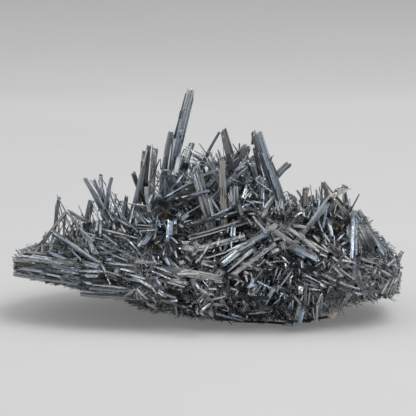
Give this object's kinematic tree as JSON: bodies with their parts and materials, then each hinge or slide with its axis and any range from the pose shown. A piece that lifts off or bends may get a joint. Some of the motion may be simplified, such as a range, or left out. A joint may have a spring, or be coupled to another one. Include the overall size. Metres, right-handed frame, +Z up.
{
  "type": "stibnite crystal spray",
  "caption": "Mineral specimen: a low, spreading spray of metallic grey striated blades and needles with a tall broken spire, resting on its own flat underside.",
  "frame": {"origin": "under the middle of the cluster, on the plane that it rests on", "axes": "+X along the cluster to the right as seen from its broken front, +Y from the front to the back, +Z up"},
  "size_m": [0.1085, 0.069, 0.0616],
  "materials": {
    "stibnite_blade": "metallic lead-grey, striated along each crystal, with bright cleavage flashes",
    "stibnite_mass": "dull metallic dark grey mass of fine needles, with sparkling faces and a few ochre specks",
    "quartz": "waxy buff quartz, slightly iron-stained"
  },
  "bodies": {
    "root": {"crown_block_lath": "stibnite_blade", "crown_block_post": "stibnite_blade", "crown_broken_stub": "stibnite_blade", "crown_crossbar": "stibnite_blade", "crown_left_knob": "stibnite_blade", "crown_left_lath": "stibnite_blade", "crown_left_rear": "stibnite_blade", "crown_long_lath": "stibnite_blade", "crown_low_lath": "stibnite_blade", "crown_pale_bar": "stibnite_blade", "crown_pale_stub": "stibnite_blade", "crown_prow_left": "stibnite_blade", "crown_prow_middle": "stibnite_blade", "crown_prow_right": "stibnite_blade", "crown_rear_dark": "stibnite_blade", "crown_rear_pale": "stibnite_blade", "crown_short_pale": "stibnite_blade", "crown_spire": "stibnite_blade", "crown_spire_foot": "stibnite_blade", "crown_spire_side": "stibnite_blade", "crown_striated_fan": "stibnite_blade", "crown_stub_right": "stibnite_blade", "crown_tent_left": "stibnite_blade", "crown_tent_right": "stibnite_blade", "crystal_mass": "stibnite_mass", "front_diagonal_lower": "stibnite_blade", "front_diagonal_upper": "stibnite_blade", "front_plate": "stibnite_blade", "front_sheaf_lower": "stibnite_blade", "front_sheaf_middle": "stibnite_blade", "front_sheaf_upper": "stibnite_blade", "keel_post_left": "stibnite_blade", "keel_post_right": "stibnite_blade", "left_broad_blade": "stibnite_blade", "left_fan_inner": "stibnite_blade", "left_fan_outer": "stibnite_blade", "left_fan_rear": "stibnite_blade", "left_fan_right": "stibnite_blade", "left_gable_inner": "stibnite_blade", "left_gable_outer": "stibnite_blade", "left_long_lath": "stibnite_blade", "left_peak": "stibnite_blade", "left_post": "stibnite_blade", "left_shelf_blade": "stibnite_blade", "left_shelf_lip": "stibnite_blade", "left_shelf_slab": "stibnite_blade", "left_slim_blade": "stibnite_blade", "quartz_grain": "quartz", "rear_end_blade": "stibnite_blade", "rear_left_blade": "stibnite_blade", "rear_low_blade": "stibnite_blade", "rear_middle_blade": "stibnite_blade", "rear_right_blade": "stibnite_blade", "right_brown_blade": "stibnite_blade", "right_curled_blade": "stibnite_blade", "right_end_stick": "stibnite_blade", "right_low_blade": "stibnite_blade", "right_post": "stibnite_blade", "right_rear_blade": "stibnite_blade", "right_slab": "stibnite_blade"}
  },
  "joints": []
}
